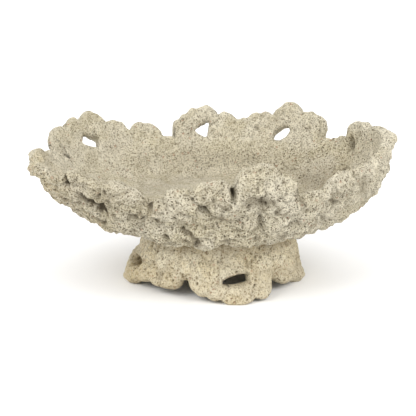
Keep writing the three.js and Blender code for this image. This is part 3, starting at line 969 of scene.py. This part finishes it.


# Porous stone: two tints in soft patches and grey stains, ochre and painted light where the mesh is marked
# for them, sandy grain with pale crests, pores in clusters, rusty specks, and painted shade in the hollows.
def stone(finish):
    look = stoneLook
    material = bpy.data.materials.new(finish["name"])
    material.use_nodes = True
    tree = material.node_tree
    shader = tree.nodes["Principled BSDF"]
    start = Field(tree, None)
    hollow, coarse, ochre, paintedLight = (start.mark(name) for name in ("hollow", "coarse", "ochre", "paintedLight"))
    place = start.node("ShaderNodeTexCoord", None, None, 3)  # Object coordinates
    shift = start.node("ShaderNodeTexNoise", None,
                       {"Vector": place, "Scale": look["warpScale"], "Detail": 2}, 1)
    warped = start.node("ShaderNodeVectorMath", {"operation": "MULTIPLY_ADD"},
                        {0: shift, 1: (look["warp"],) * 3, 2: place})
    patches = place.noise(look["patchScale"], 4, 0.6).step(0.38, 0.62)
    stains = place.noise(look["stainScale"], 3, 0.5).step(0.45, 0.7)
    cluster = place.noise(look["clusterScale"], 3, 0.6).step(0.36, 0.6)
    mottle = place.noise(look["mottleScale"], 4, 0.65)
    grain = place.noise(look["grainScale"], 4, 0.65)
    dents, crests = grain.step(0.47, 0.37), grain.step(0.5, 0.61)
    rust = warped.seeds(look["rustScale"]).step(0.16, 0.1)
    pores = warped.seeds(finish["poreScale"]).step(0.33, 0.2) * (0.5 + 0.5 * cluster) * coarse
    finePores = warped.seeds(finish["poreScale"] * look["finePores"]).step(0.36, 0.2) * (0.5 + 0.5 * coarse)
    tint = patches.blend(finish["warm"], finish["pale"])
    tint = (look["tintPatch"] * stains).blend(tint, finish["grey"])
    tint = (ochre * mottle.step(0.4, 0.6)).blend(tint, finish["ochre"])
    tint = (look["mottle"] * mottle.step(0.48, 0.34)).blend(tint, finish["dark"])
    # painted light: the marked places turn pale
    tint = paintedLight.blend(tint, finish["pale"])
    tint = (finish["grain"] * dents).blend(tint, finish["dark"])
    tint = (look["crest"] * crests).blend(tint, finish["pale"])
    tint = (look["finePore"] * finePores).blend(tint, finish["pore"])
    tint = (look["pore"] * pores).blend(tint, finish["pore"])
    tint = (look["rust"] * rust).blend(tint, finish["rust"])
    # painted shade: the hollow mark darkens, and its deepest part turns deep
    tint = (look["hollow"] * hollow).blend(tint, finish["dark"])
    tint = (look["deep"] * hollow.step(0.55, 1.0)).blend(tint, finish["deep"])
    height = 1.4 * grain + 1.2 * mottle - 0.7 * pores - 0.4 * finePores
    bump = start.node("ShaderNodeBump", None,
                      {"Strength": finish["bump"], "Distance": look["bumpDistance"], "Height": height})
    tree.links.new(tint.socket, shader.inputs["Base Color"])
    tree.links.new(bump.socket, shader.inputs["Normal"])
    shader.inputs["Roughness"].default_value = look["roughness"]
    shader.inputs["Specular IOR Level"].default_value = look["specular"]
    return material


coralBowl.data.materials.append(stone(bowlFinish))
coralFoot.data.materials.append(stone(footFinish))
for piece, node in ((coralBowl, "bowl"), (coralFoot, "foot")):
    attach(piece, "root")
    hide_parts(node)
print("stone finished")


# Studio

studio = {
    "floorColour": (0.93, 0.93, 0.93, 1),
    "floorHalf": 6.0,
    "sky": 1.24,
    "keySize": 1.7,
    "keyPlaces": [(-1.55, -1.5, 1.75), (1.65, -1.4, 1.7)],  # two soft boxes, at the left and the right
    "keyPowers": (32, 26),
    "keyAim": (0, 0, 0.1),
    "elevation": math.radians(15),
    "distance": 2.8,
    "aim": (-0.008, 0.0002, 0.0958),
    "lens": 178.8,
    "sensor": 36,
}


# A matt material of one colour.
def plainMaterial(name, tone):
    material = bpy.data.materials.new(name)
    material.use_nodes = True
    shader = material.node_tree.nodes["Principled BSDF"]
    shader.inputs["Base Color"].default_value = tone
    shader.inputs["Roughness"].default_value = 1
    shader.inputs["Specular IOR Level"].default_value = 0
    return material


# Turns an object's -Z axis towards a point.
def aimAt(thing, target):
    way = thing.location - Vector(target)
    thing.rotation_euler = way.to_track_quat("Z", "Y").to_euler()


reach = studio["floorHalf"]
corners = [(-reach, -reach, 0), (reach, -reach, 0), (reach, reach, 0), (-reach, reach, 0)]
floorMesh = bpy.data.meshes.new("floor")
floorMesh.from_pydata(corners, [], [(0, 1, 2, 3)])
floorMesh.materials.append(plainMaterial("floor_white", studio["floorColour"]))
floor = bpy.data.objects.new("floor", floorMesh)
scene.collection.objects.link(floor)

world = bpy.data.worlds.new("studio")
world.use_nodes = True
world.node_tree.nodes["Background"].inputs["Color"].default_value = (1, 1, 1, 1)
world.node_tree.nodes["Background"].inputs["Strength"].default_value = studio["sky"]
scene.world = world

for keyPlace, keyPower in zip(studio["keyPlaces"], studio["keyPowers"]):
    key = bpy.data.objects.new("key", bpy.data.lights.new("key", "AREA"))
    key.data.shape = "DISK"
    key.data.size = studio["keySize"]
    key.data.energy = keyPower
    key.location = keyPlace
    scene.collection.objects.link(key)
    aimAt(key, studio["keyAim"])

camera = bpy.data.objects.new("camera", bpy.data.cameras.new("camera"))
camera.data.lens = studio["lens"]
camera.data.sensor_width = studio["sensor"]
aim, lift = studio["aim"], studio["elevation"]
camera.location = (
    aim[0],
    aim[1] - studio["distance"] * math.cos(lift),
    aim[2] + studio["distance"] * math.sin(lift),
)
scene.collection.objects.link(camera)
aimAt(camera, aim)
scene.camera = camera
print("studio ready")
